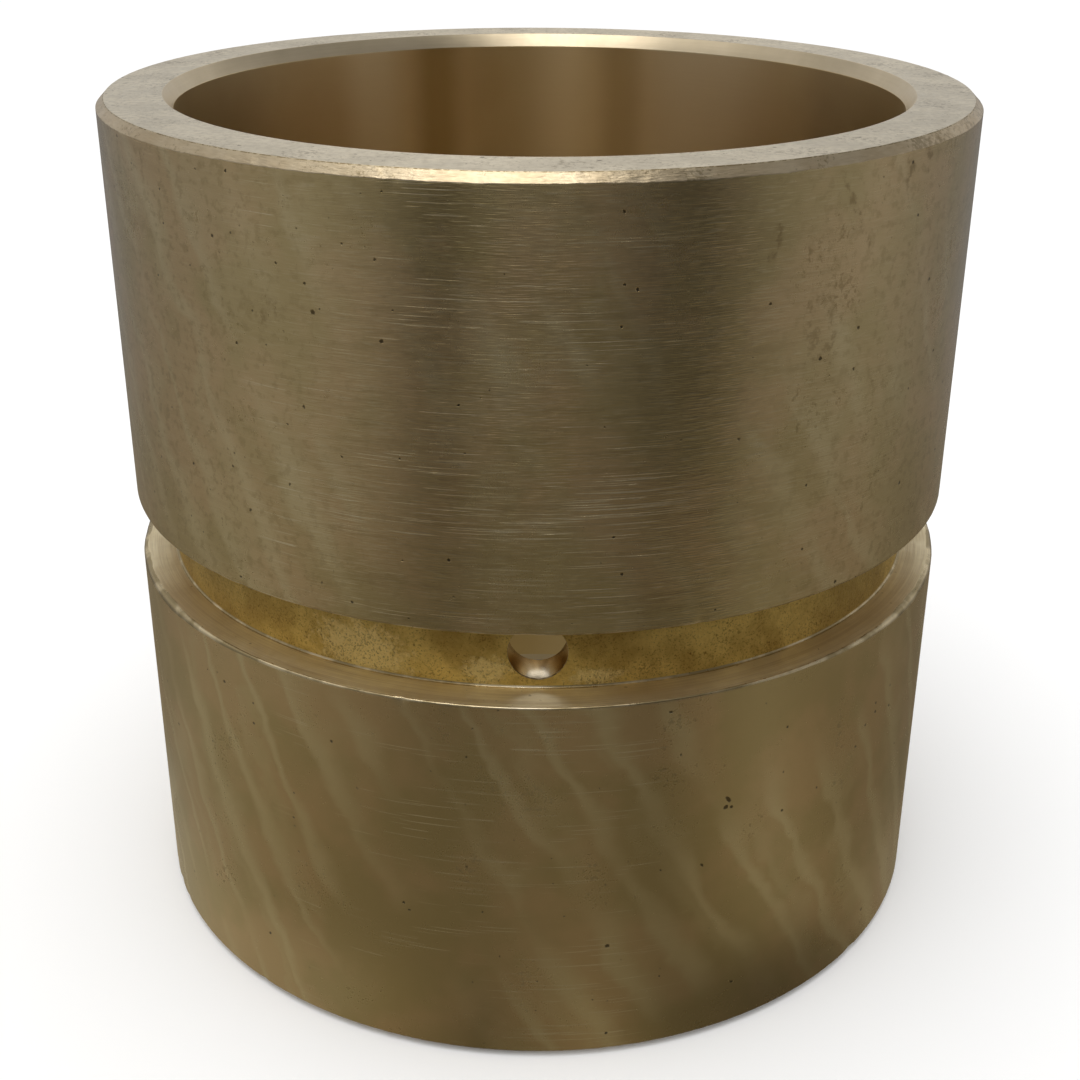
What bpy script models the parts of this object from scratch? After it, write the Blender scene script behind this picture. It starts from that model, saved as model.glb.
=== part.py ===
"""Bronze sleeve bushing, modelled in Blender.

A plain bush turned from cast bronze, in one piece: a bore that the shaft runs in, an
outside that presses into its housing, a square grease groove round the outside at
mid-length, and one oil hole from the floor of that groove through to the bore.

Units are metres. +Z runs along the bore, the origin is at the centre of the lower end
face, and the oil hole faces -Y.
"""

import math

import bpy

# Driving dimensions
OUTER_DIAMETER = 0.120
BORE_DIAMETER = 0.100
LENGTH = 0.120
OUTER_CHAMFER = 0.0011
BORE_CHAMFER_ACROSS = 0.0013
BORE_CHAMFER_DOWN = 0.0019

GROOVE_WIDTH = 0.010
GROOVE_DEPTH = 0.005
GROOVE_CORNER_RADIUS = 0.0005
GROOVE_EDGE_BREAK = 0.0003

OIL_HOLE_DIAMETER = 0.0075

# How finely the round shapes are divided
TURNING_STEPS = 160
CORNER_STEPS = 3
OIL_HOLE_SIDES = 40

# What follows from them
OUTER_RADIUS = OUTER_DIAMETER / 2
BORE_RADIUS = BORE_DIAMETER / 2
GROOVE_FLOOR_RADIUS = OUTER_RADIUS - GROOVE_DEPTH
GROOVE_MIDDLE = LENGTH / 2
GROOVE_TOP = GROOVE_MIDDLE + GROOVE_WIDTH / 2
GROOVE_BOTTOM = GROOVE_MIDDLE - GROOVE_WIDTH / 2


def clear_scene():
    for obj in list(bpy.data.objects):
        bpy.data.objects.remove(obj, do_unlink=True)


def new_collection(name):
    collection = bpy.data.collections.new(name)
    bpy.context.scene.collection.children.link(collection)
    return collection


def move_to(collection, obj):
    for other in list(obj.users_collection):
        other.objects.unlink(obj)
    collection.objects.link(obj)


def bronze_material():
    material = bpy.data.materials.new("turned_bronze")
    material.use_nodes = True
    shader = material.node_tree.nodes["Principled BSDF"]
    shader.inputs["Base Color"].default_value = (0.36, 0.28, 0.16, 1.0)
    shader.inputs["Metallic"].default_value = 1.0
    shader.inputs["Roughness"].default_value = 0.38
    return material


def arc(centre_x, centre_z, radius, start_degrees, end_degrees):
    """Points along an arc of the profile, both ends included."""
    points = []
    for step in range(CORNER_STEPS + 1):
        angle = math.radians(start_degrees + (end_degrees - start_degrees) * step / CORNER_STEPS)
        points.append((centre_x + radius * math.cos(angle), centre_z + radius * math.sin(angle)))
    return points


def groove_profile():
    """The grease groove, from its upper lip in to the floor and out to its lower lip."""
    corner_x = GROOVE_FLOOR_RADIUS + GROOVE_CORNER_RADIUS
    upper_lip = [
        (OUTER_RADIUS, GROOVE_TOP + GROOVE_EDGE_BREAK),
        (OUTER_RADIUS - GROOVE_EDGE_BREAK, GROOVE_TOP),
    ]
    upper_corner = arc(corner_x, GROOVE_TOP - GROOVE_CORNER_RADIUS, GROOVE_CORNER_RADIUS, 90, 180)
    lower_corner = arc(corner_x, GROOVE_BOTTOM + GROOVE_CORNER_RADIUS, GROOVE_CORNER_RADIUS, 180, 270)
    lower_lip = [
        (OUTER_RADIUS - GROOVE_EDGE_BREAK, GROOVE_BOTTOM),
        (OUTER_RADIUS, GROOVE_BOTTOM - GROOVE_EDGE_BREAK),
    ]
    return upper_lip + upper_corner + lower_corner + lower_lip


def wall_profile():
    """The wall of the bush in section: down the outside, across the foot and up the bore."""
    outside_top = [
        (OUTER_RADIUS - OUTER_CHAMFER, LENGTH),
        (OUTER_RADIUS, LENGTH - OUTER_CHAMFER),
    ]
    outside_foot = [
        (OUTER_RADIUS, OUTER_CHAMFER),
        (OUTER_RADIUS - OUTER_CHAMFER, 0.0),
    ]
    bore = [
        (BORE_RADIUS + BORE_CHAMFER_ACROSS, 0.0),
        (BORE_RADIUS, BORE_CHAMFER_DOWN),
        (BORE_RADIUS, LENGTH - BORE_CHAMFER_DOWN),
        (BORE_RADIUS + BORE_CHAMFER_ACROSS, LENGTH),
    ]
    return outside_top + groove_profile() + outside_foot + bore


def turned_sleeve(collection):
    """The wall's section turned once round the bore's axis."""
    section = wall_profile()
    points = [(x, 0.0, z) for x, z in section]
    edges = [(i, (i + 1) % len(points)) for i in range(len(points))]
    mesh = bpy.data.meshes.new("sleeve")
    mesh.from_pydata(points, edges, [])
    sleeve = bpy.data.objects.new("sleeve", mesh)
    collection.objects.link(sleeve)

    turning = sleeve.modifiers.new("turning", "SCREW")
    turning.axis = "Z"
    turning.angle = math.tau
    turning.steps = TURNING_STEPS
    turning.render_steps = TURNING_STEPS
    turning.use_smooth_shade = True
    return sleeve


def oil_hole_drill(collection):
    """A round cutter along Y that starts inside the bore and ends outside the bush."""
    inner_end = -BORE_RADIUS * 0.7
    outer_end = -OUTER_RADIUS * 1.2
    bpy.ops.mesh.primitive_cylinder_add(
        vertices=OIL_HOLE_SIDES,
        radius=OIL_HOLE_DIAMETER / 2,
        depth=inner_end - outer_end,
        location=(0.0, (inner_end + outer_end) / 2, GROOVE_MIDDLE),
        rotation=(math.pi / 2, 0.0, 0.0),
    )
    drill = bpy.context.object
    drill.name = "oil_hole_drill"
    move_to(collection, drill)
    drill.hide_render = True
    drill.display_type = "WIRE"
    return drill


def cut_oil_hole(sleeve, drill):
    hole = sleeve.modifiers.new("oil_hole", "BOOLEAN")
    hole.operation = "DIFFERENCE"
    hole.solver = "EXACT"
    hole.object = drill


def main():
    clear_scene()
    bushing = new_collection("bronze_sleeve_bushing")
    cutters = new_collection("cutters")

    sleeve = turned_sleeve(bushing)
    sleeve.data.materials.append(bronze_material())
    cut_oil_hole(sleeve, oil_hole_drill(cutters))


main()
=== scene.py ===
"""Bronze sleeve bushing in a small studio.

The bush is one turned piece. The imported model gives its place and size, and this script makes
the finished surface: rounded edges, an uneven chamfer, the drilled oil hole with its broken
edges, and a bronze finish for each way that the metal was cut.

Units are metres. +Z runs along the bore, and the oil hole faces -Y.
"""

import math
import random

import bmesh
import bpy
from mathutils import Matrix, Vector, noise


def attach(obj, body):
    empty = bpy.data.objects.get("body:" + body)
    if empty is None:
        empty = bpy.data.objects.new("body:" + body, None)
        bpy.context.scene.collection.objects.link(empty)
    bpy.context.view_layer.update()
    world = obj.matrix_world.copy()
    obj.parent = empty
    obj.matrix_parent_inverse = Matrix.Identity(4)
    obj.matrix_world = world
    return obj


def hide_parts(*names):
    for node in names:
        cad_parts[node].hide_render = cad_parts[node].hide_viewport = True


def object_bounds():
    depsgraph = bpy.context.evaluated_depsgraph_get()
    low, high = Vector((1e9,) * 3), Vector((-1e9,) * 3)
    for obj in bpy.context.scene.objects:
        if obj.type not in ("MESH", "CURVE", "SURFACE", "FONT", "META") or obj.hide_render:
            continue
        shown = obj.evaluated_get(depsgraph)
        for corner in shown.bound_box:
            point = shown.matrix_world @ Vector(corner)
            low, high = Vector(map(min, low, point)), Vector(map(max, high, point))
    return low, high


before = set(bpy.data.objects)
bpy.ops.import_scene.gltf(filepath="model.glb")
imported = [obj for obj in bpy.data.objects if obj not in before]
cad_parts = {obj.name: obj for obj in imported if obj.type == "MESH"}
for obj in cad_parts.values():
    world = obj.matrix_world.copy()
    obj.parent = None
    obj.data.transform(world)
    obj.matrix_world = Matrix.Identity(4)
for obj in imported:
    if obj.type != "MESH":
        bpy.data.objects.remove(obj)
cad_low, cad_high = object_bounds()

MM = 0.001
MICRON = 1e-6

# ---------------------------------------------------------------------------
# The bush's own sizes: its outer radius and length from the imported model's box, the rest given or
# worked out from these
# ---------------------------------------------------------------------------
OUTSIDE_TO_BORE = 1.2
GROOVE_DEPTH = 5.0 * MM
OUTER_RADIUS = cad_high.x
LENGTH = cad_high.z - cad_low.z
BORE_RADIUS = OUTER_RADIUS / OUTSIDE_TO_BORE
GROOVE_MIDDLE = LENGTH / 2
GROOVE_HALF_WIDTH = 5.0 * MM
GROOVE_FLOOR_RADIUS = OUTER_RADIUS - GROOVE_DEPTH
OUTER_CHAMFER = 1.1 * MM
BORE_CHAMFER_ACROSS = 1.3 * MM
BORE_CHAMFER_DOWN = 1.9 * MM
OIL_HOLE_RADIUS = 3.75 * MM

# How sharp the cutting tool left each edge
CRISP_EDGE = 0.10 * MM
WORN_EDGE = 0.16 * MM
GROOVE_LIP_EDGE = 0.22 * MM
LOWER_LIP_WEAR = 0.55 * MM
GROOVE_CORNER = 0.32 * MM
OIL_HOLE_EDGE = 0.10 * MM
EDGE_GRIME = 0.09 * MM

# How finely the round shapes are divided
TURNING_STEPS = 720
EDGE_STEPS = 4
OIL_HOLE_STEPS = 96
EDGE_LOOPS = (0.3 * MM, 1.0 * MM, 2.5 * MM)
LONG_WALL = 3.0 * MM
SMOOTH_BELOW = math.radians(40)
DRILL_OVERSHOOT = 3.0 * MM

# How far the turned edges wander
FINE_CHATTER = 0.06 * MM
BROAD_CHATTER = 0.05 * MM
BORE_EDGE_CHATTER = 0.05 * MM
LIP_CHATTER = 0.05 * MM
LIP_WEAR_VARIATION = 0.45

# How many knocks each sharp edge of the outside took, from the top edge down, and their sizes
KNOCKS_PER_EDGE = (16, 14, 14, 12)
KNOCK_REACH = (0.7 * MM, 1.7 * MM)
KNOCK_DEPTH = (0.05 * MM, 0.16 * MM)
CHIP_REACH = 2.2 * MM
CHIP_DEPTH = 0.2 * MM
CHIP_ASIDE = 1.4 * MM
KNOCKS_SEED = 11

# Where the camera stands
CAMERA_BACK = 228.6 * MM
CAMERA_HEIGHT = 155.5 * MM
CAMERA_LENS = 53.35
CAMERA_TILT_DOWN = math.radians(24.79)
CAMERA_TURN = math.radians(0.07)
CAMERA_ROLL = math.radians(0.217)

# The finishes, in the order of the mesh's material slots
FINISHES = [
    "turned_outside",
    "faced_end",
    "outer_chamfer",
    "bore_chamfer",
    "rubbed_edge",
    "grimy_edge",
    "bore",
    "groove_floor",
    "groove_wall",
    "drilled_hole",
]


# ---------------------------------------------------------------------------
# Shape
# ---------------------------------------------------------------------------
def rounded_outline(corners):
    """A closed outline through corners.

    A corner is (radius, height, rounding, finish of the edge, finish of the wall after it).
    Returns (point, finish) pairs, where the finish is that of the strip from the point onwards.
    """
    arcs = []
    for index, (radius, height, rounding, edge, wall) in enumerate(corners):
        here = Vector((radius, height))
        before = Vector(corners[index - 1][:2])
        after = Vector(corners[(index + 1) % len(corners)][:2])
        to_before = (before - here).normalized()
        to_after = (after - here).normalized()
        half = to_before.angle(to_after) / 2
        centre = here + (to_before + to_after).normalized() * (rounding / math.sin(half))
        start = here + to_before * (rounding / math.tan(half)) - centre
        end = here + to_after * (rounding / math.tan(half)) - centre
        first = math.atan2(start.y, start.x)
        sweep = (math.atan2(end.y, end.x) - first + math.pi) % math.tau - math.pi
        turns = [first + sweep * step / EDGE_STEPS for step in range(EDGE_STEPS + 1)]
        arcs.append([centre + Vector((math.cos(turn), math.sin(turn))) * rounding for turn in turns])
    outline = []
    for index, arc in enumerate(arcs):
        edge, wall = corners[index][3:]
        outline += [(point, edge) for point in arc[:-1]]
        next_arc = arcs[(index + 1) % len(arcs)]
        outline += [(point, wall) for point in true_wall(arc[-1], next_arc[0])]
    return outline


def true_wall(start, end):
    """The start of a wall, and loops near its ends that keep a knocked edge from bending the rest."""
    length = (end - start).length
    along = (end - start) / length
    steps = [step for step in EDGE_LOOPS if length > LONG_WALL and step < 0.45 * length]
    from_start = [start + along * step for step in steps]
    to_end = [end - along * step for step in reversed(steps)]
    return [start] + from_start + to_end


def unevenness(angle, seed, fineness):
    """Smooth noise from -1 to 1 that closes on itself round the axis."""
    place = Vector((math.cos(angle) * fineness, math.sin(angle) * fineness, seed))
    return noise.fractal(place, 1.0, 2.0, 3)


def wall_corners(angle):
    """The wall in section at one angle round the axis, down the outside and up the bore."""
    chatter = FINE_CHATTER * unevenness(angle, 3.1, 34.0) + BROAD_CHATTER * unevenness(angle, 8.4, 4.0)
    chamfer_down = OUTER_CHAMFER + 1.2 * chatter
    chamfer_across = OUTER_CHAMFER + 0.5 * chatter
    bore_across = BORE_CHAMFER_ACROSS + BORE_EDGE_CHATTER * unevenness(angle, 15.7, 9.0)
    upper_lip = GROOVE_MIDDLE + GROOVE_HALF_WIDTH
    lower_lip = GROOVE_MIDDLE - GROOVE_HALF_WIDTH
    lip_edge = GROOVE_LIP_EDGE + LIP_CHATTER * unevenness(angle, 21.3, 26.0)
    away_from_front = (1.0 + math.sin(angle)) / 2
    uneven_wear = 1.0 + LIP_WEAR_VARIATION * unevenness(angle, 33.9, 12.0)
    wear = min(1.0, 9.0 * away_from_front ** 1.5) * uneven_wear
    top_edge = OUTER_RADIUS - chamfer_across
    grime_end = top_edge + EDGE_GRIME
    grime_low = LENGTH - 1.2 * EDGE_GRIME
    return [
        (top_edge, LENGTH, 0.3 * CRISP_EDGE, "faced_end", "grimy_edge"),
        (grime_end, grime_low, 0.2 * CRISP_EDGE, "outer_chamfer", "outer_chamfer"),
        (OUTER_RADIUS, LENGTH - chamfer_down, WORN_EDGE, "outer_chamfer", "turned_outside"),
        (OUTER_RADIUS, upper_lip, lip_edge, "rubbed_edge", "groove_wall"),
        (GROOVE_FLOOR_RADIUS, upper_lip, GROOVE_CORNER, "groove_wall", "groove_floor"),
        (GROOVE_FLOOR_RADIUS, lower_lip, GROOVE_CORNER, "rubbed_edge", "groove_wall"),
        (OUTER_RADIUS, lower_lip, lip_edge + LOWER_LIP_WEAR * wear, "rubbed_edge", "turned_outside"),
        (OUTER_RADIUS, OUTER_CHAMFER, WORN_EDGE, "turned_outside", "outer_chamfer"),
        (OUTER_RADIUS - OUTER_CHAMFER, 0.0, CRISP_EDGE, "outer_chamfer", "faced_end"),
        (BORE_RADIUS + BORE_CHAMFER_ACROSS, 0.0, CRISP_EDGE, "faced_end", "bore_chamfer"),
        (BORE_RADIUS, BORE_CHAMFER_DOWN, WORN_EDGE, "bore_chamfer", "bore"),
        (BORE_RADIUS, LENGTH - BORE_CHAMFER_DOWN, WORN_EDGE, "bore", "bore_chamfer"),
        (BORE_RADIUS + bore_across, LENGTH, CRISP_EDGE, "bore_chamfer", "faced_end"),
    ]


def edge_nicks():
    """Small knocks on the sharp edges, as (place, reach, depth)."""
    draw = random.Random(KNOCKS_SEED)
    edges = [
        LENGTH - OUTER_CHAMFER,
        GROOVE_MIDDLE + GROOVE_HALF_WIDTH,
        GROOVE_MIDDLE - GROOVE_HALF_WIDTH,
        OUTER_CHAMFER,
    ]
    nicks = []
    for height, count in zip(edges, KNOCKS_PER_EDGE):
        for _ in range(count):
            angle = draw.uniform(0.0, math.tau)
            place = Vector((OUTER_RADIUS * math.cos(angle), OUTER_RADIUS * math.sin(angle), height))
            nicks.append((place, draw.uniform(*KNOCK_REACH), draw.uniform(*KNOCK_DEPTH)))
    lip_above_hole = Vector((-CHIP_ASIDE, -OUTER_RADIUS, GROOVE_MIDDLE + GROOVE_HALF_WIDTH))
    nicks.append((lip_above_hole, CHIP_REACH, CHIP_DEPTH))
    return nicks


def knock_in(body, nicks):
    """Pushes the mesh in towards the axis round each nick."""
    for place, reach, depth in nicks:
        for vert in body.verts:
            away = (vert.co - place).length / reach
            if away < 1.0:
                inward = Vector((vert.co.x, vert.co.y, 0.0)).normalized()
                vert.co -= inward * depth * (1.0 - away * away) ** 2


def ring_mesh(name, steps):
    """The wall turned once round Z, with its edges knocked and each face given its finish."""
    body = bmesh.new()
    rings = []
    for step in range(steps):
        angle = math.tau * step / steps
        across = Vector((math.cos(angle), math.sin(angle), 0.0))
        outline = rounded_outline(wall_corners(angle))
        rings.append([body.verts.new(across * p.x + Vector((0, 0, p.y))) for p, _ in outline])
    slots = [FINISHES.index(finish) for _, finish in outline]
    for step, ring in enumerate(rings):
        following = rings[(step + 1) % steps]
        for index, slot in enumerate(slots):
            beside = (index + 1) % len(slots)
            face = body.faces.new((ring[index], ring[beside], following[beside], following[index]))
            face.material_index = slot
    knock_in(body, edge_nicks())
    mesh = bpy.data.meshes.new(name)
    body.normal_update()
    body.to_mesh(mesh)
    body.free()
    return mesh


def link_object(name, mesh):
    made = bpy.data.objects.new(name, mesh)
    bpy.context.scene.collection.objects.link(made)
    return made


def oil_hole_drill():
    """A round cutter from inside the bore to outside the groove, wider where it breaks the edges."""
    sag = OIL_HOLE_RADIUS ** 2 / (2 * BORE_RADIUS)
    wide = OIL_HOLE_RADIUS + OIL_HOLE_EDGE
    stations = [
        (BORE_RADIUS - DRILL_OVERSHOOT, wide, "grimy_edge"),
        (BORE_RADIUS - sag, wide, "grimy_edge"),
        (BORE_RADIUS + OIL_HOLE_EDGE, OIL_HOLE_RADIUS, "drilled_hole"),
        (GROOVE_FLOOR_RADIUS - sag - OIL_HOLE_EDGE, OIL_HOLE_RADIUS, "grimy_edge"),
        (GROOVE_FLOOR_RADIUS, wide, "grimy_edge"),
        (GROOVE_FLOOR_RADIUS + DRILL_OVERSHOOT, wide, "grimy_edge"),
    ]
    drill = bmesh.new()
    rings = []
    for reach, radius, _ in stations:
        ring = []
        for step in range(OIL_HOLE_STEPS):
            angle = math.tau * step / OIL_HOLE_STEPS
            across = radius * math.cos(angle)
            up = GROOVE_MIDDLE + radius * math.sin(angle)
            ring.append(drill.verts.new((across, -reach, up)))
        rings.append(ring)
    for inner, outer, (_, _, finish) in zip(rings, rings[1:], stations):
        for index in range(OIL_HOLE_STEPS):
            beside = (index + 1) % OIL_HOLE_STEPS
            face = drill.faces.new((inner[index], inner[beside], outer[beside], outer[index]))
            face.material_index = FINISHES.index(finish)
    drill.faces.new(rings[0])
    drill.faces.new(rings[-1])
    bmesh.ops.recalc_face_normals(drill, faces=drill.faces)
    mesh = bpy.data.meshes.new("oil_hole_drill")
    drill.to_mesh(mesh)
    drill.free()
    return link_object("oil_hole_drill", mesh)


def finished_sleeve(materials):
    """The turned wall with its oil hole drilled, as one plain mesh."""
    sleeve = link_object("turned_sleeve", ring_mesh("turned_sleeve", TURNING_STEPS))
    drill = oil_hole_drill()
    for material in materials:
        sleeve.data.materials.append(material)
        drill.data.materials.append(material)
    drilling = sleeve.modifiers.new("oil_hole", "BOOLEAN")
    drilling.operation = "DIFFERENCE"
    drilling.solver = "EXACT"
    drilling.object = drill
    seen = sleeve.evaluated_get(bpy.context.evaluated_depsgraph_get())
    drilled = bpy.data.meshes.new_from_object(seen)
    sleeve.modifiers.clear()
    sleeve.data = drilled
    bpy.data.objects.remove(drill)
    drilled.shade_smooth()
    drilled.set_sharp_from_angle(angle=SMOOTH_BELOW)
    return sleeve


# ---------------------------------------------------------------------------
# Building nodes
# ---------------------------------------------------------------------------
def add(tree, kind, inputs=None, **settings):
    """Adds a node, with its properties and with its inputs filled from values or other nodes."""
    made = tree.nodes.new(kind)
    for name, value in settings.items():
        setattr(made, name, value)
    for key, value in (inputs or {}).items():
        if isinstance(value, bpy.types.NodeSocket):
            tree.links.new(value, made.inputs[key])
        else:
            made.inputs[key].default_value = value
    return made


def maths(tree, operation, first, second=0.0, third=0.0):
    inputs = {0: first, 1: second, 2: third}
    return add(tree, "ShaderNodeMath", inputs, operation=operation).outputs[0]


def between(tree, value, low, high, to_low=0.0, to_high=1.0):
    """A smooth step as value goes from low to high."""
    inputs = {"Value": value, "From Min": low, "From Max": high, "To Min": to_low, "To Max": to_high}
    return add(tree, "ShaderNodeMapRange", inputs, interpolation_type="SMOOTHSTEP").outputs["Result"]


def grain(tree, vector, scale, detail=2.0, roughness=0.5):
    inputs = {"Vector": vector, "Scale": scale, "Detail": detail, "Roughness": roughness}
    return add(tree, "ShaderNodeTexNoise", inputs).outputs["Fac"]


def blend(tree, amount, first, second):
    """Mixes two numbers, each a value or a node's output."""
    return add(tree, "ShaderNodeMix", {"Factor": amount, "A": first, "B": second}).outputs[0]


def tint(tree, amount, first, second, way="MIX"):
    """Mixes two colours, each a value or a node's output."""
    inputs = {"Factor": amount, "A": first, "B": second}
    return add(tree, "ShaderNodeMix", inputs, data_type="RGBA", blend_type=way).outputs["Result"]


def effect(name, inputs, outputs):
    """A new shader node group with number inputs and outputs; returns the tree and its two ends."""
    group = bpy.data.node_groups.new(name, "ShaderNodeTree")
    for label, value in inputs.items():
        socket = group.interface.new_socket(label, in_out="INPUT", socket_type="NodeSocketFloat")
        socket.default_value = value
    for label in outputs:
        group.interface.new_socket(label, in_out="OUTPUT", socket_type="NodeSocketFloat")
    entry = group.nodes.new("NodeGroupInput").outputs
    leave = group.nodes.new("NodeGroupOutput").inputs
    return group, entry, leave


def place_on_bush(tree):
    """The object position, as one vector."""
    return add(tree, "ShaderNodeTexCoord").outputs["Object"]


def split(tree, vector):
    """The X, Y and Z of a vector."""
    return add(tree, "ShaderNodeSeparateXYZ", {"Vector": vector}).outputs


def distance_from_axis(tree, parts):
    across = maths(tree, "MULTIPLY", parts["X"], parts["X"])
    deep = maths(tree, "MULTIPLY", parts["Y"], parts["Y"])
    return maths(tree, "SQRT", maths(tree, "ADD", across, deep))


def turn_from_front(tree, parts):
    """The angle round the axis from the front towards +X, in radians."""
    return maths(tree, "ARCTAN2", parts["X"], maths(tree, "MULTIPLY", parts["Y"], -1.0))


def degrees_past(tree, parts, start):
    """How far round the axis a point is past a start, both in degrees from the front."""
    degrees = maths(tree, "MULTIPLY", turn_from_front(tree, parts), math.degrees(1.0))
    return maths(tree, "SUBTRACT", degrees, start)


def height_in_mm(tree, parts):
    return maths(tree, "DIVIDE", parts["Z"], MM)


def stretched(tree, parts, along, height, across):
    """A texture vector that changes slowly round the axis and quickly along height."""
    inputs = {
        "X": maths(tree, "MULTIPLY", parts["X"], along),
        "Y": maths(tree, "MULTIPLY", parts["Y"], along),
        "Z": maths(tree, "MULTIPLY", height, across),
    }
    return add(tree, "ShaderNodeCombineXYZ", inputs).outputs["Vector"]


# ---------------------------------------------------------------------------
# Effects that several finishes share
# ---------------------------------------------------------------------------
# How closely each effect's own noises repeat, in cells per metre
SCRATCH_CLUSTER_ROUND = 55.0
SCRATCH_CLUSTER_UP = 170.0
PIT_RIPPLE = 3800.0
PIT_GATHERING = 70.0
STREAK_SWEEP = 24.0
STREAK_BREAK = 33.0
STREAK_WIDTH = 48.0
STREAK_WOBBLE = 105.0
SMUDGE_FRAY = 900.0

# How strongly they act
BAND_SCRATCHES = 0.135
CLUSTER_SCRATCHES = 0.42
PIT_RAGGEDNESS = 0.3 * MM
SMUDGE_RAGGEDNESS = 2.4


def turning_lines():
    """Fine broken lines left by the tool round the axis: on a wall by height, on a face by radius."""
    inputs = {"Facing": 0.0, "Across": 4200.0, "Along": 300.0}
    tree, entry, leave = effect("turning_lines", inputs, ["Lines", "Broad"])
    parts = split(tree, place_on_bush(tree))
    height = blend(tree, entry["Facing"], parts["Z"], distance_from_axis(tree, parts))
    fine = grain(tree, stretched(tree, parts, entry["Along"], height, entry["Across"]), 1.0, 1.0, 0.6)
    longer = maths(tree, "MULTIPLY", entry["Along"], 0.25)
    wider = maths(tree, "MULTIPLY", entry["Across"], 0.16)
    broad = grain(tree, stretched(tree, parts, longer, height, wider), 1.0)
    tree.links.new(fine, leave["Lines"])
    tree.links.new(between(tree, broad, 0.50, 0.66), leave["Broad"])
    return tree


def scratches():
    """Sparse thin scratches round the axis, in clusters, and closer together in one rubbed band."""
    inputs = {"Across": 8200.0, "Along": 110.0, "Sparseness": 0.76, "Band": 80.0, "Reach": 5.0}
    tree, entry, leave = effect("scratches", inputs, ["Scratches"])
    parts = split(tree, place_on_bush(tree))
    lines = grain(tree, stretched(tree, parts, entry["Along"], parts["Z"], entry["Across"]), 1.0, 0.0)
    patchwork = stretched(tree, parts, SCRATCH_CLUSTER_ROUND, parts["Z"], SCRATCH_CLUSTER_UP)
    cluster = grain(tree, patchwork, 1.0, 1.0)
    above_band = maths(tree, "SUBTRACT", height_in_mm(tree, parts), entry["Band"])
    off_band = maths(tree, "DIVIDE", maths(tree, "ABSOLUTE", above_band), entry["Reach"])
    wear_and_glow = between(tree, off_band, 0.3, 1.0, BAND_SCRATCHES, 0.0)
    more = maths(tree, "SUBTRACT", cluster, 0.5)
    clustered = maths(tree, "MULTIPLY_ADD", more, CLUSTER_SCRATCHES, wear_and_glow)
    limit = maths(tree, "SUBTRACT", entry["Sparseness"], clustered)
    above = maths(tree, "SUBTRACT", lines, limit)
    tree.links.new(between(tree, above, 0.0, 0.06), leave["Scratches"])
    return tree


def casting_pits():
    """Small open pores of the casting, of mixed sizes and ragged outline, gathered in places."""
    inputs = {"Cells": 560.0, "Share": 0.30, "Size": 0.10}
    tree, entry, leave = effect("casting_pits", inputs, ["Pits"])
    position = place_on_bush(tree)
    ripple = {"Vector": position, "Scale": PIT_RIPPLE, "Detail": 1.0}
    wobble = add(tree, "ShaderNodeTexNoise", ripple).outputs["Color"]
    ragged = {0: wobble, "Scale": PIT_RAGGEDNESS}
    shift = add(tree, "ShaderNodeVectorMath", ragged, operation="SCALE").outputs[0]
    moved = add(tree, "ShaderNodeVectorMath", {0: position, 1: shift}, operation="ADD").outputs[0]
    cells = add(tree, "ShaderNodeTexVoronoi", {"Vector": moved, "Scale": entry["Cells"]})
    luck = add(tree, "ShaderNodeSeparateColor", {"Color": cells.outputs["Color"]}).outputs
    gather = between(tree, grain(tree, position, PIT_GATHERING, 1.0), 0.35, 0.70, 0.25, 1.9)
    chosen = maths(tree, "LESS_THAN", luck["Red"], maths(tree, "MULTIPLY", entry["Share"], gather))
    spread = maths(tree, "MULTIPLY_ADD", maths(tree, "POWER", luck["Green"], 3.0), 1.3, 0.5)
    size = maths(tree, "MULTIPLY", entry["Size"], spread)
    depth = maths(tree, "SUBTRACT", 1.0, maths(tree, "DIVIDE", cells.outputs["Distance"], size))
    hollow = between(tree, depth, 0.0, 0.5)
    tree.links.new(maths(tree, "MULTIPLY", hollow, chosen), leave["Pits"])
    return tree


def wipe_streaks():
    """Pale wandering streaks of mixed width that lean round the bush, and come and go."""
    inputs = {"Count": 44.0, "Lean": 58.0, "Wander": 1.3}
    tree, entry, leave = effect("wipe_streaks", inputs, ["Streaks"])
    position = place_on_bush(tree)
    parts = split(tree, position)
    per_radian = maths(tree, "DIVIDE", entry["Count"], math.tau)
    around = maths(tree, "MULTIPLY", turn_from_front(tree, parts), per_radian)
    phase = maths(tree, "ADD", around, maths(tree, "MULTIPLY", parts["Z"], entry["Lean"]))
    slow = maths(tree, "MULTIPLY", grain(tree, position, STREAK_SWEEP, 1.0), entry["Wander"])
    less = maths(tree, "MULTIPLY", entry["Wander"], 0.6)
    quick = maths(tree, "MULTIPLY", grain(tree, position, STREAK_WOBBLE, 3.0, 0.55), less)
    wandered = maths(tree, "ADD", phase, maths(tree, "ADD", slow, quick))
    width = between(tree, grain(tree, position, STREAK_WIDTH, 1.0), 0.32, 0.68, 0.55, 1.7)
    step = maths(tree, "DIVIDE", maths(tree, "FRACT", wandered), width)
    rise = between(tree, step, 0.0, 0.16)
    fall = between(tree, step, 0.18, 0.46, 1.0, 0.0)
    strength = between(tree, grain(tree, position, STREAK_BREAK, 2.0), 0.38, 0.60)
    line = maths(tree, "MULTIPLY", rise, fall)
    tree.links.new(maths(tree, "MULTIPLY", line, strength), leave["Streaks"])
    return tree


def clouding():
    """Broad patches and fine mottle of tarnish."""
    inputs = {"Patches": 60.0, "Mottle": 420.0}
    tree, entry, leave = effect("clouding", inputs, ["Patches", "Mottle"])
    position = place_on_bush(tree)
    tree.links.new(grain(tree, position, entry["Patches"], 3.0, 0.6), leave["Patches"])
    tree.links.new(grain(tree, position, entry["Mottle"], 3.0, 0.6), leave["Mottle"])
    return tree


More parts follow.
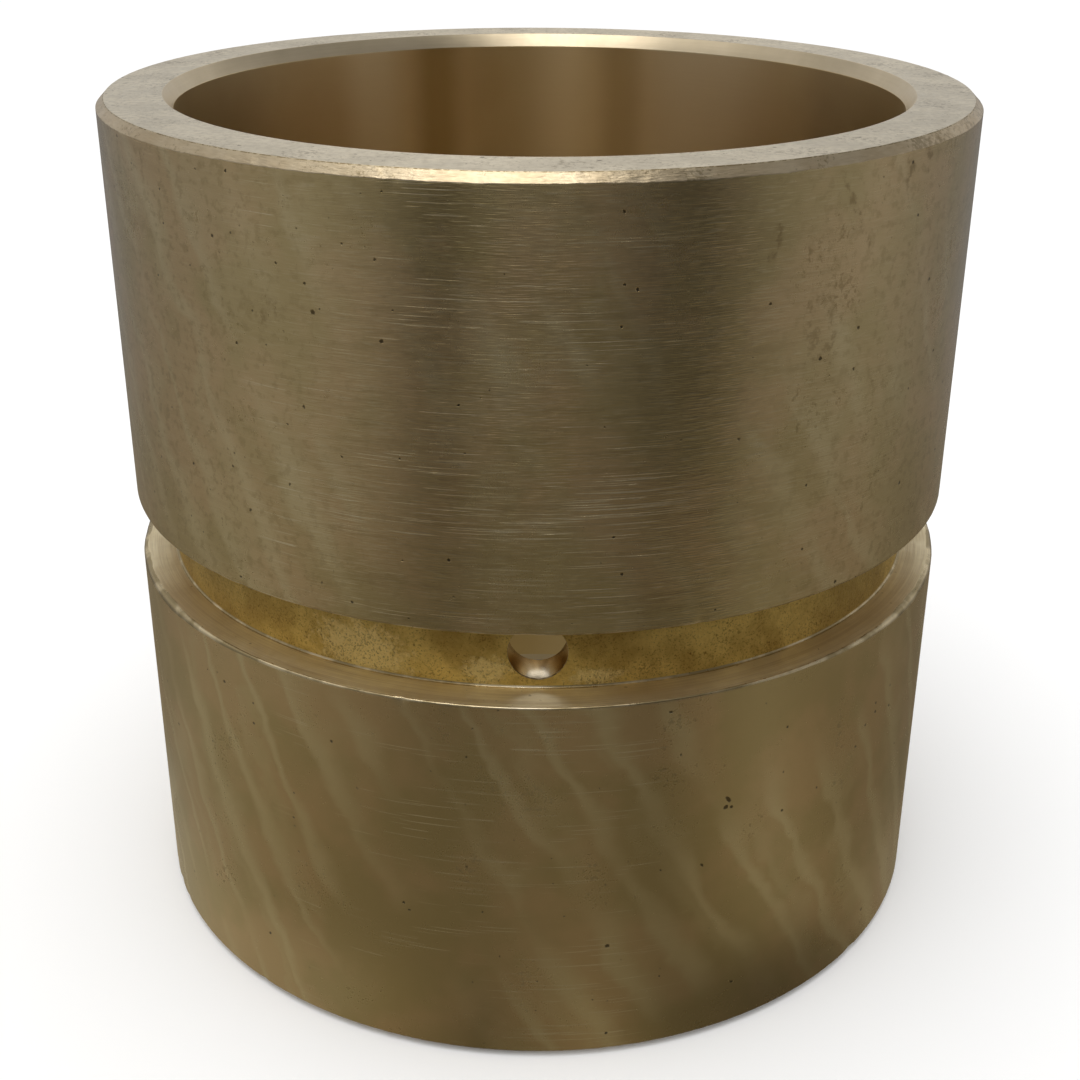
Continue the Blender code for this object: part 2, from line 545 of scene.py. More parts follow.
def grime():
    """Dark grit with ragged edges, gathered in patches or spread evenly."""
    inputs = {"Spread": 55.0, "Grit": 1500.0, "Gather": 0.5, "Threshold": 0.60}
    tree, entry, leave = effect("grime", inputs, ["Grime"])
    position = place_on_bush(tree)
    region = grain(tree, position, entry["Spread"], 2.0)
    blots = grain(tree, position, entry["Grit"], 3.0, 0.7)
    gathered = blend(tree, entry["Gather"], blots, region)
    over = maths(tree, "SUBTRACT", gathered, entry["Threshold"])
    tree.links.new(between(tree, over, -0.02, 0.05), leave["Grime"])
    return tree


def strip():
    """One soft upright strip, by degrees round from the front."""
    inputs = {"Turn": 0.0, "Wide": 8.0}
    tree, entry, leave = effect("strip", inputs, ["Strip"])
    degrees = degrees_past(tree, split(tree, place_on_bush(tree)), entry["Turn"])
    nearest = maths(tree, "ABSOLUTE", maths(tree, "WRAP", degrees, 180.0, -180.0))
    away = maths(tree, "DIVIDE", nearest, entry["Wide"])
    tree.links.new(between(tree, away, 0.15, 1.0, 1.0, 0.0), leave["Strip"])
    return tree


def smudge():
    """One ragged blot at a place on the outside: degrees round from the front, and height in mm."""
    inputs = {"Turn": 0.0, "Height": 60.0, "Wide": 3.0, "Tall": 3.0, "Lean": 0.0, "Ring": 0.0}
    tree, entry, leave = effect("smudge", inputs, ["Smudge"])
    position = place_on_bush(tree)
    parts = split(tree, position)
    degrees = degrees_past(tree, parts, entry["Turn"])
    across = maths(tree, "MULTIPLY", degrees, math.radians(1.0) * OUTER_RADIUS / MM)
    up = maths(tree, "SUBTRACT", height_in_mm(tree, parts), entry["Height"])
    leant = maths(tree, "ADD", across, maths(tree, "MULTIPLY", up, entry["Lean"]))
    sideways = maths(tree, "ABSOLUTE", maths(tree, "DIVIDE", leant, entry["Wide"]))
    upwards = maths(tree, "ABSOLUTE", maths(tree, "DIVIDE", up, entry["Tall"]))
    first = maths(tree, "POWER", sideways, 2.0)
    second = maths(tree, "POWER", upwards, 2.0)
    away = maths(tree, "SQRT", maths(tree, "ADD", first, second))
    fray = maths(tree, "SUBTRACT", grain(tree, position, SMUDGE_FRAY, 4.0, 0.75), 0.5)
    ragged = maths(tree, "MULTIPLY_ADD", fray, SMUDGE_RAGGEDNESS, away)
    blot = between(tree, ragged, 0.5, 1.1, 1.0, 0.0)
    hollow = between(tree, ragged, 0.25, 0.75)
    ringed = blend(tree, entry["Ring"], 1.0, hollow)
    tree.links.new(maths(tree, "MULTIPLY", blot, ringed), leave["Smudge"])
    return tree


# ---------------------------------------------------------------------------
# Colours of the metal, and of what lies on it
# ---------------------------------------------------------------------------
OLIVE_BRONZE = (0.655, 0.515, 0.250)
WARM_BRONZE = (0.770, 0.568, 0.300)
PALE_WIPE = (0.88, 0.735, 0.42)
FAINT_WIPE = (0.84, 0.70, 0.39)
LINE_SHADE = (0.46, 0.35, 0.16)
BROAD_LINE_SHADE = (0.42, 0.31, 0.14)
LINE_GLINT = (0.94, 0.80, 0.50)
SCRATCH_GLINT = (1.0, 0.86, 0.56)
DULL_MOTTLE = (0.48, 0.37, 0.19)
BROWN_TARNISH = (0.42, 0.31, 0.13)
DARK_SPECK = (0.24, 0.165, 0.06)
DARK_GRIT = (0.22, 0.15, 0.06)
OILY_SMUDGE = (0.30, 0.20, 0.08)
POCK_BOTTOM = (0.09, 0.06, 0.025)
PIT_BOTTOM = (0.10, 0.07, 0.03)

PALE_END = (0.80, 0.715, 0.555)
DULL_END = (0.70, 0.625, 0.485)
END_MOTTLE = (0.50, 0.43, 0.31)
END_GRIT = (0.32, 0.26, 0.17)
END_PIT = (0.14, 0.10, 0.06)

PALE_CHAMFER = (0.80, 0.67, 0.47)
DULL_CHAMFER = (0.68, 0.54, 0.35)
CHAMFER_LINE = (0.40, 0.30, 0.16)
CHAMFER_GRIT = (0.26, 0.19, 0.09)
DULL_BORE_CHAMFER = (0.72, 0.60, 0.41)
BORE_CHAMFER_LINE = (0.48, 0.38, 0.22)

RUBBED_DARK = (0.46, 0.36, 0.19)
RUBBED_PALE = (0.88, 0.73, 0.46)
CHIP_GLINT = (1.0, 0.88, 0.64)
EDGE_DIRT = (0.30, 0.22, 0.11)
EDGE_METAL = (0.66, 0.55, 0.36)
EDGE_PALE = (0.74, 0.63, 0.44)

PALE_BORE = (0.83, 0.675, 0.405)
DULL_BORE = (0.78, 0.61, 0.35)
BORE_SHINE = (0.96, 0.83, 0.58)
BORE_SHADE = (0.50, 0.36, 0.16)
BORE_DEPTH = (0.62, 0.43, 0.15)
BORE_LINE = (0.5, 0.36, 0.16)

GOLD_FLOOR = (0.94, 0.70, 0.23)
DEEP_FLOOR = (0.63, 0.43, 0.12)
FLOOR_MOTTLE = (0.42, 0.28, 0.07)
FLOOR_SHINE = (1.0, 0.80, 0.36)
FLOOR_SHADE = (0.34, 0.22, 0.06)
FLOOR_STRIP_SHADE = (0.44, 0.31, 0.10)
FLOOR_GRIT = (0.24, 0.135, 0.03)
FLOOR_PIT = (0.20, 0.105, 0.02)

PALE_LEDGE = (0.99, 0.87, 0.60)
DULL_LEDGE = (0.86, 0.735, 0.48)
LEDGE_LINE = (0.56, 0.43, 0.26)
LEDGE_BROAD_LINE = (0.52, 0.38, 0.20)
LEDGE_SHADE = (0.58, 0.42, 0.22)
LEDGE_PIT = (0.24, 0.16, 0.07)

PALE_HOLE = (0.98, 0.86, 0.66)
DULL_HOLE = (0.84, 0.71, 0.51)
HOLE_MOTTLE = (0.55, 0.42, 0.26)
HOLE_SIDE_SHADE = (0.46, 0.29, 0.07)

# Dark smudges on the upper outside
SMUDGES = [
    dict(turn=36.9, height=113.4, wide=0.8, tall=4.4, lean=0.62),
    dict(turn=46.0, height=116.6, wide=1.1, tall=2.8, lean=0.1),
    dict(turn=50.0, height=117.8, wide=0.9, tall=2.2, lean=0.1),
    dict(turn=25.9, height=111.2, wide=0.9, tall=2.2, lean=-0.3),
    dict(turn=33.0, height=101.0, wide=3.0, tall=5.2, lean=0.0, ring=1.0),
    dict(turn=-31.5, height=103.0, wide=1.9, tall=2.2, lean=0.0, ring=0.6),
]

# Open pores on the outside that are bigger than the rest
POCKS = [
    dict(turn=24.3, height=38.3, wide=0.28, tall=0.45, lean=0.5),
    dict(turn=24.0, height=37.2, wide=0.36, tall=0.34, lean=0.0),
    dict(turn=24.8, height=37.0, wide=0.24, tall=0.26, lean=0.0),
    dict(turn=21.1, height=28.9, wide=0.24, tall=0.30, lean=0.4),
    dict(turn=8.9, height=18.3, wide=0.42, tall=0.28, lean=0.0),
    dict(turn=-25.1, height=103.1, wide=0.30, tall=0.36, lean=0.3),
    dict(turn=-27.0, height=91.5, wide=0.26, tall=0.34, lean=0.0),
    dict(turn=16.0, height=53.2, wide=0.34, tall=0.24, lean=0.0),
]

# Places on the groove's floor with a painted golden highlight, over bumpier grain that catches the
# lamps
GROOVE_GLOW_SPOTS = [
    dict(turn=-6.8, height=57.0, wide=3.4, tall=2.4, lean=0.0),
    dict(turn=7.5, height=56.4, wide=4.0, tall=1.3, lean=0.0),
    dict(turn=-24.0, height=58.0, wide=8.0, tall=4.5, lean=0.0),
]

# Upright strips of painted reflection, shade and highlight, as (degrees round from the front, width in
# degrees, amount)
BORE_BRIGHT_STRIPS = ((-147.0, 9.0, 0.9), (147.0, 19.0, 1.0), (177.0, 9.0, 0.3))
BORE_DARK_STRIPS = ((-160.0, 6.5, 0.85), (-174.0, 13.0, 0.50), (164.0, 6.0, 0.45))
LEDGE_DARK_STRIPS = ((14.0, 9.0, 0.45), (50.0, 24.0, 0.45), (-12.0, 3.5, 0.25), (-56.0, 15.0, 0.45))
GROOVE_DARK_STRIPS = ((-54.0, 20.0, 0.45), (54.0, 20.0, 0.45))
CHIP_HIGHLIGHT_STRIP = ((-1.4, 4.5, 0.7),)


# ---------------------------------------------------------------------------
# Finishes
# ---------------------------------------------------------------------------
class Bronze:
    """One bronze finish: a metal shader, the shared effects beside it, and what they feed."""

    groups = {}

    def __init__(self, name, roughness, grain_spread):
        self.material = bpy.data.materials.new(name)
        self.material.use_nodes = True
        self.tree = self.material.node_tree
        self.shader = self.tree.nodes["Principled BSDF"]
        self.shader.inputs["Metallic"].default_value = 1.0
        self.shader.inputs["Roughness"].default_value = roughness
        self.shader.inputs["Anisotropic"].default_value = grain_spread
        self.shader.inputs["Anisotropic Rotation"].default_value = 0.25
        tangent = add(self.tree, "ShaderNodeTangent", direction_type="RADIAL", axis="Z")
        self.tree.links.new(tangent.outputs[0], self.shader.inputs["Tangent"])
        self.roughness = roughness
        self.height = 0.0
        self.colour = None

    def use(self, make, **values):
        """Places a shared effect, and returns its outputs."""
        if make not in Bronze.groups:
            Bronze.groups[make] = make()
        placed = add(self.tree, "ShaderNodeGroup", node_tree=Bronze.groups[make])
        for label, value in values.items():
            placed.inputs[label.capitalize()].default_value = value
        return placed.outputs

    def start(self, mask, low, high, first, second):
        """The metal's own colour, from first to second as the mask goes from low to high."""
        change = between(self.tree, mask, low, high)
        self.colour = tint(self.tree, change, (*first, 1.0), (*second, 1.0))

    def stain(self, mask, amount, colour):
        """Lays a colour over what is there, where the mask is."""
        cover = maths(self.tree, "MULTIPLY", mask, amount)
        self.colour = tint(self.tree, cover, self.colour, (*colour, 1.0))

    def stain_strips(self, strips, colour):
        for turn, wide, amount in strips:
            self.stain(self.use(strip, turn=turn, wide=wide)["Strip"], amount, colour)

    def roughen(self, mask, amount, middle=0.0):
        """Adds to the roughness where the mask is above its middle, and takes away below it."""
        change = maths(self.tree, "SUBTRACT", mask, middle)
        self.roughness = maths(self.tree, "MULTIPLY_ADD", change, amount, self.roughness)

    def raise_by(self, mask, microns):
        self.height = maths(self.tree, "MULTIPLY_ADD", mask, microns, self.height)

    def finish(self):
        bump = add(self.tree, "ShaderNodeBump", {"Distance": MICRON, "Height": self.height})
        self.tree.links.new(bump.outputs["Normal"], self.shader.inputs["Normal"])
        self.tree.links.new(self.colour, self.shader.inputs["Base Color"])
        if isinstance(self.roughness, bpy.types.NodeSocket):
            self.tree.links.new(self.roughness, self.shader.inputs["Roughness"])
        return self.material


def turned_outside():
    bronze = Bronze("turned_outside", 0.27, 0.75)
    tree = bronze.tree
    parts = split(tree, place_on_bush(tree))
    above_groove = between(tree, parts["Z"], 50.0 * MM, 64.0 * MM)
    front = bronze.use(strip, turn=3.0, wide=46.0)["Strip"]
    glint_side = bronze.use(strip, turn=-8.0, wide=36.0)["Strip"]
    grainy = maths(tree, "MULTIPLY", above_groove, between(tree, front, 0.0, 1.0, 0.42, 1.0))
    aside = maths(tree, "MULTIPLY", above_groove, between(tree, front, 0.0, 0.8, 1.0, 0.25))
    lines = bronze.use(turning_lines, across=6400.0, along=380.0)
    marks = bronze.use(scratches)["Scratches"]
    pits = bronze.use(casting_pits, share=0.50)["Pits"]
    cloud = bronze.use(clouding, patches=62.0, mottle=800.0)
    streak = bronze.use(wipe_streaks)["Streaks"]
    faint_streak = bronze.use(wipe_streaks, count=27.0, lean=30.0, wander=2.2)["Streaks"]
    grit = bronze.use(grime, spread=110.0, grit=1300.0, gather=0.45, threshold=0.63)["Grime"]
    specks = bronze.use(grime, spread=260.0, grit=2700.0, gather=0.30, threshold=0.635)["Grime"]

    bronze.start(cloud["Patches"], 0.38, 0.62, OLIVE_BRONZE, WARM_BRONZE)
    bronze.stain(faint_streak, 0.34, FAINT_WIPE)
    seen_streak = maths(tree, "MULTIPLY", streak, between(tree, above_groove, 0.0, 1.0, 1.0, 0.75))
    bronze.stain(seen_streak, 0.75, PALE_WIPE)
    # The grain lines are real turning marks, drawn strongest round the front above the groove; their
    # pale dashes are painted glints.
    bronze.stain(maths(tree, "MULTIPLY", lines["Lines"], grainy), 0.16, LINE_SHADE)
    bronze.stain(maths(tree, "MULTIPLY", lines["Broad"], grainy), 0.24, BROAD_LINE_SHADE)
    glint_dashes = maths(tree, "MULTIPLY", between(tree, lines["Lines"], 0.54, 0.70), grainy)
    bronze.stain(glint_dashes, 0.36, LINE_GLINT)
    # Painted highlight: the scratches are painted pale as glints, most of all near the front where the
    # lamps catch them.
    glinting_marks = maths(tree, "MULTIPLY", marks, between(tree, glint_side, 0.0, 0.6, 0.05, 1.0))
    bronze.stain(glinting_marks, 0.80, SCRATCH_GLINT)
    bronze.stain(cloud["Mottle"], 0.12, DULL_MOTTLE)
    tarnish = maths(tree, "MULTIPLY", between(tree, cloud["Mottle"], 0.50, 0.66), aside)
    bronze.stain(tarnish, 0.34, BROWN_TARNISH)
    seen_specks = maths(tree, "MULTIPLY", specks, between(tree, aside, 0.0, 1.0, 0.3, 1.0))
    bronze.stain(seen_specks, 0.55, DARK_SPECK)
    bronze.stain(grit, 0.36, DARK_GRIT)
    broken = between(tree, cloud["Mottle"], 0.42, 0.58, 0.15, 1.0)
    for place in SMUDGES:
        patchy = maths(tree, "MULTIPLY", bronze.use(smudge, **place)["Smudge"], broken)
        bronze.stain(patchy, 0.50, OILY_SMUDGE)
    for place in POCKS:
        pock = bronze.use(smudge, **place)["Smudge"]
        bronze.stain(pock, 0.85, POCK_BOTTOM)
        bronze.raise_by(pock, -60.0)
    bronze.stain(pits, 0.9, PIT_BOTTOM)
    bronze.roughen(grit, 0.15)
    fine_lines = maths(tree, "MULTIPLY", lines["Lines"], between(tree, grainy, 0.0, 1.0, 0.10, 1.0))
    bronze.raise_by(fine_lines, 60.0)
    bronze.raise_by(glinting_marks, -7.0)
    bronze.raise_by(pits, -60.0)
    return bronze.finish()


def faced_end():
    bronze = Bronze("faced_end", 0.42, 0.5)
    lines = bronze.use(turning_lines, facing=1.0, across=2600.0, along=260.0)
    pits = bronze.use(casting_pits, cells=640.0, share=0.45, size=0.13)["Pits"]
    cloud = bronze.use(clouding, patches=160.0, mottle=1100.0)
    grit = bronze.use(grime, spread=150.0, grit=1500.0, gather=0.40, threshold=0.560)["Grime"]
    bronze.start(cloud["Patches"], 0.38, 0.62, PALE_END, DULL_END)
    bronze.stain(between(bronze.tree, cloud["Mottle"], 0.40, 0.66), 0.42, END_MOTTLE)
    bronze.stain(grit, 0.60, END_GRIT)
    bronze.stain(pits, 0.8, END_PIT)
    bronze.roughen(lines["Lines"], 0.14, 0.5)
    bronze.raise_by(lines["Lines"], 30.0)
    bronze.raise_by(cloud["Mottle"], 32.0)
    bronze.raise_by(pits, -50.0)
    return bronze.finish()


def outer_chamfer():
    bronze = Bronze("outer_chamfer", 0.36, 0.4)
    lines = bronze.use(turning_lines, across=4200.0, along=620.0)
    cloud = bronze.use(clouding, patches=120.0, mottle=1600.0)
    grit = bronze.use(grime, spread=140.0, grit=2000.0, gather=0.45, threshold=0.56)["Grime"]
    bronze.start(cloud["Patches"], 0.3, 0.7, PALE_CHAMFER, DULL_CHAMFER)
    bronze.stain(lines["Lines"], 0.55, CHAMFER_LINE)
    bronze.stain(grit, 0.55, CHAMFER_GRIT)
    bronze.roughen(cloud["Mottle"], 0.3, 0.5)
    bronze.raise_by(lines["Lines"], 60.0)
    bronze.raise_by(cloud["Mottle"], 25.0)
    return bronze.finish()


def bore_chamfer():
    bronze = Bronze("bore_chamfer", 0.36, 0.45)
    lines = bronze.use(turning_lines, across=3800.0, along=120.0)
    cloud = bronze.use(clouding, patches=120.0, mottle=1200.0)
    bronze.start(cloud["Patches"], 0.3, 0.7, PALE_CHAMFER, DULL_BORE_CHAMFER)
    bronze.stain(lines["Lines"], 0.25, BORE_CHAMFER_LINE)
    bronze.roughen(cloud["Mottle"], 0.15, 0.5)
    bronze.raise_by(lines["Lines"], 9.0)
    return bronze.finish()


def rubbed_edge():
    bronze = Bronze("rubbed_edge", 0.32, 0.0)
    cloud = bronze.use(clouding, patches=170.0, mottle=1500.0)
    bronze.start(cloud["Patches"], 0.42, 0.62, RUBBED_DARK, RUBBED_PALE)
    # Painted highlight: a pale glint on the rubbed edges round the oil hole, at the chip in the upper
    # lip.
    bronze.stain_strips(CHIP_HIGHLIGHT_STRIP, CHIP_GLINT)
    bronze.roughen(cloud["Mottle"], 0.35, 0.5)
    bronze.raise_by(cloud["Mottle"], 30.0)
    return bronze.finish()


def grimy_edge():
    bronze = Bronze("grimy_edge", 0.45, 0.0)
    cloud = bronze.use(clouding, patches=300.0, mottle=1500.0)
    bronze.start(cloud["Mottle"], 0.46, 0.60, EDGE_DIRT, EDGE_METAL)
    bronze.stain(between(bronze.tree, cloud["Patches"], 0.4, 0.7), 0.5, EDGE_PALE)
    bronze.raise_by(cloud["Mottle"], 40.0)
    return bronze.finish()


def bore():
    bronze = Bronze("bore", 0.28, 0.75)
    lines = bronze.use(turning_lines, across=3400.0, along=90.0)
    cloud = bronze.use(clouding, patches=45.0)
    parts = split(bronze.tree, place_on_bush(bronze.tree))
    deep = between(bronze.tree, parts["Z"], 62.0 * MM, 44.0 * MM)
    bronze.start(cloud["Patches"], 0.35, 0.65, PALE_BORE, DULL_BORE)
    # Painted reflections: upright bright and dark bands in the bore, standing in for the lamps and room
    # mirrored in it.
    bronze.stain_strips(BORE_BRIGHT_STRIPS, BORE_SHINE)
    bronze.stain_strips(BORE_DARK_STRIPS, BORE_SHADE)
    # Painted shade: the lower half of the bore, deep down from the open top, is darker and browner.
    bronze.stain(deep, 0.5, BORE_DEPTH)
    bronze.stain(lines["Lines"], 0.06, BORE_LINE)
    bronze.raise_by(lines["Lines"], 1.0)
    return bronze.finish()


def groove_floor():
    bronze = Bronze("groove_floor", 0.52, 0.0)
    pits = bronze.use(casting_pits, cells=1500.0, share=0.4, size=0.18)["Pits"]
    cloud = bronze.use(clouding, patches=150.0, mottle=2300.0)
    grit = bronze.use(grime, spread=180.0, grit=3400.0, gather=0.20, threshold=0.555)["Grime"]
    parts = split(bronze.tree, place_on_bush(bronze.tree))
    under_lip = between(bronze.tree, parts["Z"], GROOVE_MIDDLE + 1.0 * MM, GROOVE_MIDDLE + 5.0 * MM)
    bronze.start(cloud["Patches"], 0.36, 0.64, GOLD_FLOOR, DEEP_FLOOR)
    bronze.stain(cloud["Mottle"], 0.35, FLOOR_MOTTLE)
    # Painted highlight: bright golden spots where the lamps glint on the floor; the raised grain under
    # them is real bump.
    for place in GROOVE_GLOW_SPOTS:
        wear_and_glow = bronze.use(smudge, **place)["Smudge"]
        bronze.stain(wear_and_glow, 0.75, FLOOR_SHINE)
        bronze.raise_by(maths(bronze.tree, "MULTIPLY", wear_and_glow, cloud["Mottle"]), 170.0)
    # Painted shadow: the floor is darker under the upper lip.
    bronze.stain(under_lip, 0.6, FLOOR_SHADE)
    # Painted shade: darker upright strips on the floor either side of the front.
    bronze.stain_strips(GROOVE_DARK_STRIPS, FLOOR_STRIP_SHADE)
    bronze.stain(grit, 0.55, FLOOR_GRIT)
    bronze.stain(pits, 0.65, FLOOR_PIT)
    bronze.roughen(cloud["Mottle"], 0.5, 0.5)
    bronze.raise_by(cloud["Mottle"], 90.0)
    return bronze.finish()


def groove_wall():
    bronze = Bronze("groove_wall", 0.46, 0.3)
    lines = bronze.use(turning_lines, facing=1.0, across=5200.0, along=90.0)
    pits = bronze.use(casting_pits, cells=900.0, share=0.3, size=0.16)["Pits"]
    cloud = bronze.use(clouding, patches=130.0, mottle=1300.0)
    bronze.start(cloud["Patches"], 0.36, 0.64, PALE_LEDGE, DULL_LEDGE)
    bronze.stain(between(bronze.tree, lines["Lines"], 0.56, 0.40), 0.25, LEDGE_LINE)
    bronze.stain(between(bronze.tree, lines["Broad"], 0.2, 0.9), 0.22, LEDGE_BROAD_LINE)
    # Painted shade: darker upright strips on the ledge where the lamps light it less.
    bronze.stain_strips(LEDGE_DARK_STRIPS, LEDGE_SHADE)
    bronze.stain(pits, 0.5, LEDGE_PIT)
    bronze.roughen(cloud["Mottle"], 0.2, 0.5)
    bronze.raise_by(lines["Lines"], 26.0)
    bronze.raise_by(cloud["Mottle"], 10.0)
    return bronze.finish()


def drilled_hole():
    bronze = Bronze("drilled_hole", 0.22, 0.0)
    cloud = bronze.use(clouding, patches=350.0, mottle=1800.0)
    parts = split(bronze.tree, place_on_bush(bronze.tree))
    from_middle = maths(bronze.tree, "ABSOLUTE", parts["X"])
    beside = between(bronze.tree, from_middle, 1.4 * MM, 3.3 * MM)
    bronze.start(cloud["Patches"], 0.3, 0.7, PALE_HOLE, DULL_HOLE)
    bronze.stain(cloud["Mottle"], 0.25, HOLE_MOTTLE)
    # Painted shade: the hole's side walls are darker brown than its top and bottom.
    bronze.stain(beside, 0.75, HOLE_SIDE_SHADE)
    bronze.roughen(cloud["Mottle"], 0.25, 0.5)
    bronze.raise_by(cloud["Mottle"], 14.0)
    return bronze.finish()


# ---------------------------------------------------------------------------
# Studio
# ---------------------------------------------------------------------------
def tone_ramp(tree, vector, stops):
    """A grey tone by compass direction; stops are (degrees from the front towards +X, tone)."""
    turn = add(tree, "ShaderNodeTexGradient", {"Vector": vector}, gradient_type="RADIAL").outputs["Fac"]
    ramp = add(tree, "ShaderNodeValToRGB", {"Fac": turn})
    ramp.color_ramp.interpolation = "LINEAR"
    elements = ramp.color_ramp.elements
    while len(elements) > 1:
        elements.remove(elements[-1])
    for index, (degrees, tone) in enumerate(stops):
        place = degrees / 360.0 + 0.25
        element = elements[0] if index == 0 else elements.new(place)
        element.position = place
        element.color = (tone, tone, tone, 1.0)
    return ramp.outputs["Color"]


# What the metal sees by compass direction, as (degrees from the front towards +X, tone)
FAR_FLOOR = [  # the floor well away from the bush
    (-90, 0.23), (-72, 0.29), (-53, 0.29), (-42, 0.23), (-34, 0.16), (-28, 0.085), (-22, 0.04),
    (-18, 0.055), (-15, 0.13), (-10, 0.112), (5, 0.112), (17, 0.105), (27, 0.052), (40, 0.045),
    (47, 0.11), (57, 0.21), (68, 0.26), (87, 0.29), (114, 0.21), (180, 0.20), (270, 0.23),
]
NEAR_FLOOR = [  # the floor about a bush's width away
    (-90, 0.235), (-78, 0.235), (-66, 0.22), (-50, 0.175), (-31, 0.14), (-12, 0.12), (8, 0.135),
    (24, 0.12), (36, 0.17), (44, 0.215), (52, 0.225), (60, 0.18), (70, 0.145), (89, 0.135),
    (113, 0.125), (180, 0.20), (242, 0.17), (260, 0.21), (270, 0.245),
]
CLOSE_FLOOR = [  # the floor right beside the bush
    (-90, 0.30), (-75, 0.33), (-60, 0.33), (-45, 0.29), (-30, 0.25), (-20, 0.17), (-8, 0.09),
    (8, 0.17), (20, 0.09), (35, 0.055), (48, 0.08), (60, 0.17), (75, 0.20), (90, 0.16),
    (113, 0.12), (180, 0.20), (245, 0.24), (270, 0.36),
]
LOW_WALLS = [  # the room from the floor to about eye height
    (-90, 0.32), (-53, 0.30), (-42, 0.23), (-34, 0.16), (-28, 0.085), (-22, 0.045), (-18, 0.06),
    (-15, 0.24), (5, 0.19), (17, 0.12), (27, 0.055), (40, 0.045), (47, 0.11), (57, 0.21),
    (68, 0.27), (95, 0.34), (125, 0.52), (235, 0.52), (270, 0.32),
]
HIGH_WALLS = [  # the room above that
    (-90, 0.30), (-60, 0.26), (-30, 0.34), (-14, 0.46), (0, 0.36), (14, 0.16), (60, 0.13),
    (90, 0.20), (118, 0.27), (145, 0.24), (165, 1.02), (180, 0.90), (195, 1.02), (218, 0.24),
    (244, 0.56), (258, 0.60), (270, 0.32),
]
CEILING = [  # the edge of the ceiling
    (-90, 1.25), (-78, 0.88), (-50, 0.22), (-15, 0.20), (5, 0.28), (20, 0.22), (45, 0.06),
    (60, 0.07), (78, 0.23), (90, 0.58), (105, 0.17), (130, 0.12), (180, 0.20), (230, 0.36),
    (256, 0.88), (270, 1.25),
]

# The studio's sizes, and how its floor changes with the distance from the bush's axis, in metres
FLOOR_SPAN = 12.0
FLOOR_DROP = 0.02 * MM
PAPER_FADE = (0.3, 1.6)
NEAR_FADE = (0.08, 0.40)
CLOSE_FADE = (0.066, 0.082)

# Tones and tints of the studio
PAPER = (0.94, 0.94, 0.94, 1.0)
WHITE = (1.0, 1.0, 1.0, 1.0)
ZENITH = (0.45, 0.45, 0.45, 1.0)
DIM_WARMTH = (1.12, 0.97, 0.69, 1.0)
BRIGHT_WARMTH = (1.05, 0.98, 0.80, 1.0)
FAR_COOLNESS = (1.0, 1.0, 1.06, 1.0)

# Soft boxes, as (name, place, width, height, power), aimed at the top of the bush
SOFT_BOXES = [
    ("overhead_box", (-0.11, -0.22, 1.1), 0.56, 0.7, 2.95),
    ("front_box", (-0.06, -0.66, 1.0), 0.5, 0.24, 0.60),
]
SOFT_BOX_AIM = (0.0, 0.0, 0.1)


def studio_floor():
    """A wide pale sheet, clear from below. The metal sees it dimmer, and warm near the bush."""
    bpy.ops.mesh.primitive_plane_add(size=FLOOR_SPAN, location=(0.0, 0.0, -FLOOR_DROP))
    floor = bpy.context.object
    floor.name = "studio_floor"
    material = bpy.data.materials.new("pale_floor")
    material.use_nodes = True
    tree = material.node_tree
    paper = tree.nodes["Principled BSDF"]
    paper.inputs["Roughness"].default_value = 1.0
    paper.inputs["Specular IOR Level"].default_value = 0.0

    position = add(tree, "ShaderNodeTexCoord").outputs["Object"]
    away = add(tree, "ShaderNodeVectorMath", {0: position}, operation="LENGTH").outputs["Value"]
    sheet = tint(tree, between(tree, away, *PAPER_FADE), PAPER, WHITE)
    tree.links.new(sheet, paper.inputs["Base Color"])
    near = between(tree, away, *NEAR_FADE, 1.0, 0.0)
    close = between(tree, away, *CLOSE_FADE, 1.0, 0.0)
    tone = tint(tree, near, tone_ramp(tree, position, FAR_FLOOR), tone_ramp(tree, position, NEAR_FLOOR))
    tone = tint(tree, close, tone, tone_ramp(tree, position, CLOSE_FLOOR))
    warm = tint(tree, between(tree, tone, 0.16, 0.26), DIM_WARMTH, BRIGHT_WARMTH)
    warmth = tint(tree, near, FAR_COOLNESS, warm)
    tinted = tint(tree, 1.0, tone, warmth, "MULTIPLY")
    # Painted reflection: glossy rays see the floor as a glow of these tones, not as lit paper.
    seen_in_metal = add(tree, "ShaderNodeEmission", {"Color": tinted}).outputs[0]

    ray = add(tree, "ShaderNodeLightPath").outputs
    side = add(tree, "ShaderNodeNewGeometry").outputs["Backfacing"]
    clear = add(tree, "ShaderNodeBsdfTransparent").outputs[0]
    top = {0: ray["Is Glossy Ray"], 1: paper.outputs[0], 2: seen_in_metal}
    above = add(tree, "ShaderNodeMixShader", top).outputs[0]
    both = add(tree, "ShaderNodeMixShader", {0: side, 1: above, 2: clear}).outputs[0]
    tree.links.new(both, tree.nodes["Material Output"].inputs["Surface"])
    floor.data.materials.append(material)


